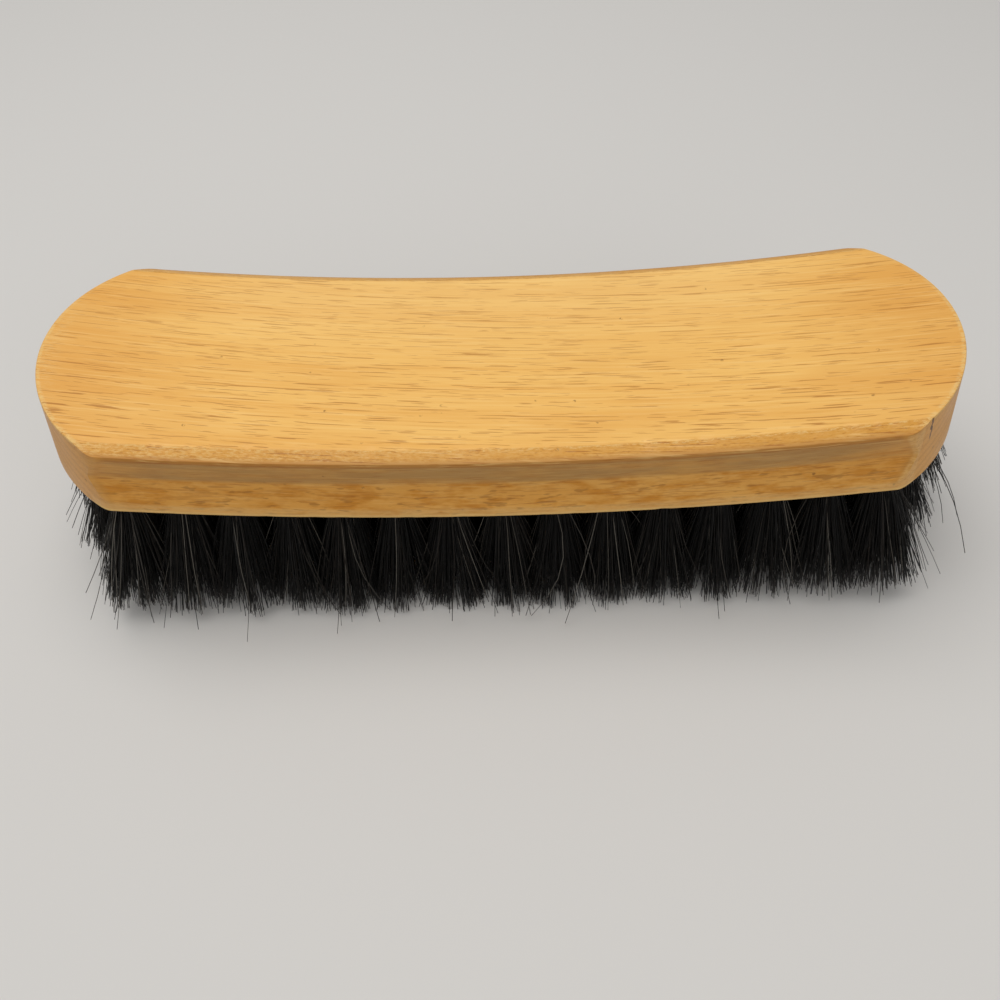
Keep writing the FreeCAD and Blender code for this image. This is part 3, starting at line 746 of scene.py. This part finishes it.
def tuft_tips(share, count, flare):
    """Where the hairs of a tuft start and end, as points of a disc: evenly by angle and crowded to the
    rim, drawn to locks, and splayed outwards near an end by up to the flare. A few hairs stray, and
    fewer still come loose and cross their neighbours. Gives both, with the strays and the loose ones."""
    angle, out = rng.uniform(0, 2 * np.pi, count), rng.uniform(0, 1, count) ** RIM_CROWD
    disc = np.stack([np.cos(angle), np.sin(angle)], axis=1) * out[:, None]
    locks = rng.uniform(-1, 1, (LOCKS, 2)) * LOCK_REACH
    nearest = ((disc[:, None] - locks[None]) ** 2).sum(-1).argmin(axis=1)
    tip = (disc + LOCK_PULL * (locks[nearest] - disc)) * rng.normal(1.0, TIP_VARY, (count, 1))
    tip *= (TIP_R, TIP_STRETCH * TIP_R)
    tip += rng.normal(0, TUFT_SHIFT, (1, 2)) + rng.normal(0, TIP_SHIFT, (count, 2))
    chance = rng.uniform(size=count)
    stray, loose = chance < STRAY_SHARE, chance > 1 - LOOSE_SHARE
    tip += stray[:, None] * rng.normal(0, STRAY_OUT, (count, 2))
    crossing = LOOSE_CROSS if abs(flare) < SMALL_FLARE else LOOSE_OUT
    tip += loose[:, None] * rng.normal(0, 1, (count, 2)) * (LOOSE_OUT, crossing)
    tip[:, 0] += LOOSE_OUT * share * loose
    tip[:, 1] += flare * rng.uniform(*FLARE_SHARES, count)
    return disc, tip, stray, loose


def tuft_paths(share, count, flare):
    """Middle lines of one tuft's hairs in the middle column: the mouth, plus the way along the tuft,
    plus the disc point times a radius that widens from hole to tip, plus a bow and a wave. Gives the
    lines, and the least tone of each hair."""
    mouth, line, across = tuft_axes(share)
    disc, tip, stray, loose = tuft_tips(share, count, flare)
    short = np.abs(rng.normal(0, UNEVEN, count)) + stray * rng.uniform(0, STRAY_SHORT, count) + TRIMMED
    lean = share * EDGE_LEAN
    length = ((BRISTLE + tip[:, 0] * math.sin(lean) - short) / math.cos(lean))[:, None, None]
    run = -ROOT + (length + ROOT) * np.linspace(0, 1, RINGS)[None, :, None]
    free = np.clip(run / length, 0, 1)
    spread = free ** rng.uniform(*FAN_POWERS, (count, 1, 1))
    radial = MOUTH_R * disc[:, None] * (1 - spread) + tip[:, None] * spread
    radial += rng.normal(0, BOW, (count, 1, 2)) * np.sin(np.pi * free) * (1 + 2 * loose[:, None, None])
    phase = free * rng.uniform(*WAVE_COUNTS, (count, 1, 1)) + rng.uniform(0, 1, (count, 1, 1))
    radial += rng.normal(0, WAVE, (count, 1, 2)) * np.sin(2 * np.pi * phase) * free
    paths = mouth + run * line + radial[..., :1] * across + radial[..., 1:] * np.array([1, 0, 0])
    return paths, STRAY_TONE * stray + LOOSE_TONE * loose


print("hairs start", ROOT, "mm inside their holes and end in discs", 2 * TIP_R, "mm across")

# %% [markdown]
# ## Splayed and knocked-out hairs
# Nothing holds the last tufts of a row on their outer side, so they splay. Years of brushing one way
# have swept the hair to the right, so the left end splays less. A few hairs have been knocked out past
# the ends: these are easiest to place one by one, as short curves.

# %% Hairs at the ends
FLARES, LEFT_SHARE = {1.0: 3.0, 0.5: 4.5, 0.0: 3.5}, 0.4
KNOCKED_ROOT, ROOT_SPREAD = (77.0, -10.0, 33.0), 1.2
KNOCKED = {
    1: [((91.9, -11.6, 20.5), (93.3, -24.9, 10.0)), ((90.0, -12.0, 23.0), (91.8, -19.0, 15.0)),
        ((87.5, -13.0, 24.0), (88.4, -20.9, 15.0))],
    -1: [((-84.2, -12.2, 24.5), (-90.5, -14.7, 15.0)), ((-83.4, -13.0, 24.6), (-89.0, -16.3, 15.0)),
         ((-82.6, -14.2, 24.4), (-87.3, -18.1, 15.0)), ((-84.2, -12.0, 25.4), (-90.0, -14.4, 17.0)),
         ((-82.0, -14.8, 24.2), (-85.7, -19.7, 15.0)), ((-83.0, -13.6, 25.2), (-87.8, -17.0, 17.0))],
}


def end_flare(share, column):
    """How far the hairs of a tuft are splayed at the tips: most in the last tuft of a row, half as far
    in the one before it, and so on."""
    side = 1.0 if column > 0 else -LEFT_SHARE
    return side * FLARES[abs(share)] * 0.5 ** ((LAST[share] - abs(column)) / 2)


def knocked_out(side):
    """Hairs that stick out past an end of the block: each is a curve from the hole, drawn towards a
    shoulder point and ending at a free tip, which is root, shoulder and tip weighted by the squares
    of the ways to either end."""
    shoulder, tip = np.array(KNOCKED[side], float).transpose(1, 0, 2)[:, :, None]
    root = np.array(KNOCKED_ROOT) * (side, 1, 1)
    root = root + rng.uniform(-ROOT_SPREAD, ROOT_SPREAD, (len(tip), 1, 3)) * (1, 1, 0)
    s = np.linspace(0, 1, RINGS)[None, :, None]
    return (1 - s) ** 2 * root + 2 * s * (1 - s) * shoulder + s ** 2 * tip


print("knocked out:", {side: len(rows) for side, rows in KNOCKED.items()})

# %% [markdown]
# ## Hairs as tubes
# A hair only has to look round, and three sides do that when they are shaded smooth. So each hair is a
# closed three-sided tube that tapers a little, a few dozen triangles in all. Curves with a bevel would
# give the same look, but arrays go straight into the mesh with the tone of every hair.

# %% Hair tubes
ASKEW, TAPER = (0.36, 0.93, 0.0), 0.72


def hair_tubes(paths, radius):
    """Points of three-sided tubes round the middle lines: each ring is three points at equal angles
    in the plane square to the hair, which two cross products span from a direction no hair takes."""
    count = len(paths)
    way = paths[:, -1] - paths[:, 0]
    way /= np.linalg.norm(way, axis=1, keepdims=True)
    one = np.cross(way, ASKEW)
    one /= np.linalg.norm(one, axis=1, keepdims=True)
    two = np.cross(way, one)
    turn = rng.uniform(0, 2 * np.pi, (count, 1)) + np.arange(3)[None] * 2 * np.pi / 3
    spokes = np.cos(turn)[..., None] * one[:, None] + np.sin(turn)[..., None] * two[:, None]
    taper = radius[:, None] * np.linspace(1.0, TAPER, RINGS)[None]
    return paths[:, :, None] + taper[:, :, None, None] * spokes[:, None]


def tube_faces(count):
    """Triangles of closed three-sided tubes: two for each side between two rings, and one at each end."""
    ring, side = np.meshgrid(np.arange(RINGS - 1) * 3, np.arange(3), indexing="ij")
    after, last = (side + 1) % 3, (RINGS - 1) * 3
    lower = np.stack([ring + side, ring + after, ring + 3 + after], axis=-1).reshape(-1, 3)
    upper = np.stack([ring + side, ring + 3 + after, ring + 3 + side], axis=-1).reshape(-1, 3)
    tube = np.concatenate([lower, upper, [[0, 2, 1], [last, last + 1, last + 2]]])
    return (np.arange(count)[:, None, None] * RINGS * 3 + tube).reshape(-1, 3)


print("each hair:", len(tube_faces(1)), "triangles")

# %% [markdown]
# ## Columns of tufts
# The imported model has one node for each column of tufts, so each column becomes one mesh. Its map for
# baking lays all hairs of one tone over each other in a narrow strip: a few hundred hairs share a few
# shades, and separate islands would be thinner than a pixel.

# %% Hair columns
HAIRS, LAST_HAIRS, TONES, STRIP_SHARE = {1.0: 480, 0.5: 400, 0.0: 340}, 260, 64, 0.3
HAIR_R, HAIR_SHARES, TONE_SHAPE, FLOOR_GAP = 0.10, (0.75, 1.15), (1.0, 2.0), 0.12


def hair_count(share, column):
    """How many hairs a tuft shows: the last tuft of a row has no neighbour to fill its outer side."""
    return HAIRS[abs(share)] + LAST_HAIRS * (abs(column) == LAST[share])


def hair_object(name, paths, radius, tones):
    """One mesh of many hairs, with each point's tone and place along its hair, and the map of strips."""
    count = len(paths)
    faces = tube_faces(count)
    made = mesh_object(name, hair_tubes(paths, radius).reshape(-1, 3), faces)
    mesh = made.data
    way = np.broadcast_to(np.linspace(0, 1, RINGS)[None, :, None], (count, RINGS, 3))
    tone = np.broadcast_to(tones[:, None, None] / (TONES - 1), (count, RINGS, 3))
    for label, values in (("hair_along", way), ("hair_tone", tone)):
        layer = mesh.attributes.new(label, "FLOAT", "POINT")
        layer.data.foreach_set("value", values.astype(np.float32).ravel())
    strip = (tones[:, None, None] + 0.5 + (np.arange(3)[None, None] - 1) * STRIP_SHARE) / TONES
    flat = np.stack([np.broadcast_to(strip, way.shape), way], axis=-1).reshape(-1, 2)
    mesh.uv_layers.new(name="OFBake").data.foreach_set("uv", flat[faces.ravel()].astype(np.float32).ravel())
    mesh.materials.append(hair)
    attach(made, "root")
    return made


total = 0
for number, (column, rows) in enumerate(columns.items(), start=1):
    tufts = [tuft_paths(share, hair_count(share, column), end_flare(share, column)) for share in rows]
    paths = np.concatenate([swing(lines, column) for lines, pale in tufts])
    pale = np.concatenate([pale for lines, pale in tufts])
    # The knocked-out hairs come from the last tufts of the rows half-way out.
    if abs(column) == LAST[0.5]:
        extra = knocked_out(int(math.copysign(1, column)))
        paths, pale = np.concatenate([paths, extra]), np.concatenate([pale, np.zeros(len(extra))])
    paths[..., 2] = np.maximum(paths[..., 2], FLOOR_GAP)
    count = len(paths)
    tones = np.where(pale > 0, rng.uniform(pale, 1.0), rng.beta(*TONE_SHAPE, count))
    tones = np.minimum(TONES * tones, TONES - 1).astype(int)
    radius = HAIR_R * rng.uniform(*HAIR_SHARES, count)
    bundle = hair_object(f"hair_column_{number:02d}", paths, radius, tones)
    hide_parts(f"tuft_column_{number:02d}")
    total += count
print(total, "hairs,", len(tube_faces(total)), "triangles")

# %% [markdown]
# ## Anchors
# The flat wire that each tuft is folded over stays hidden in its hole, and keeps its mesh from the packed
# model. It is galvanised steel, grey and finely mottled with zinc crystals a millimetre or so across.

# %% Anchor material
zinc, tree, shader = new_material("galvanised steel wire")
shader.inputs["Metallic"].default_value = 1.0
place = add(tree, "TexCoord").outputs["Object"]
place = add(tree, "VectorMath", {"operation": "SCALE"}, {0: place, "Scale": 1 / MM}).outputs[0]
spangle = cloud(place, (1.2, 1.2, 1.2))
tree.links.new(stain(colour("#9a9c9e"), "#c3c5c7", spangle), shader.inputs["Base Color"])
tree.links.new(where((spangle, 0.3, 0.7, 0.32, 0.5)), shader.inputs["Roughness"])
anchors = [node for name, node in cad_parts.items() if name.endswith("_anchors")]
for node in anchors:
    node.data.materials.clear()
    node.data.materials.append(zinc)
print(len(anchors), "anchor nodes dressed")
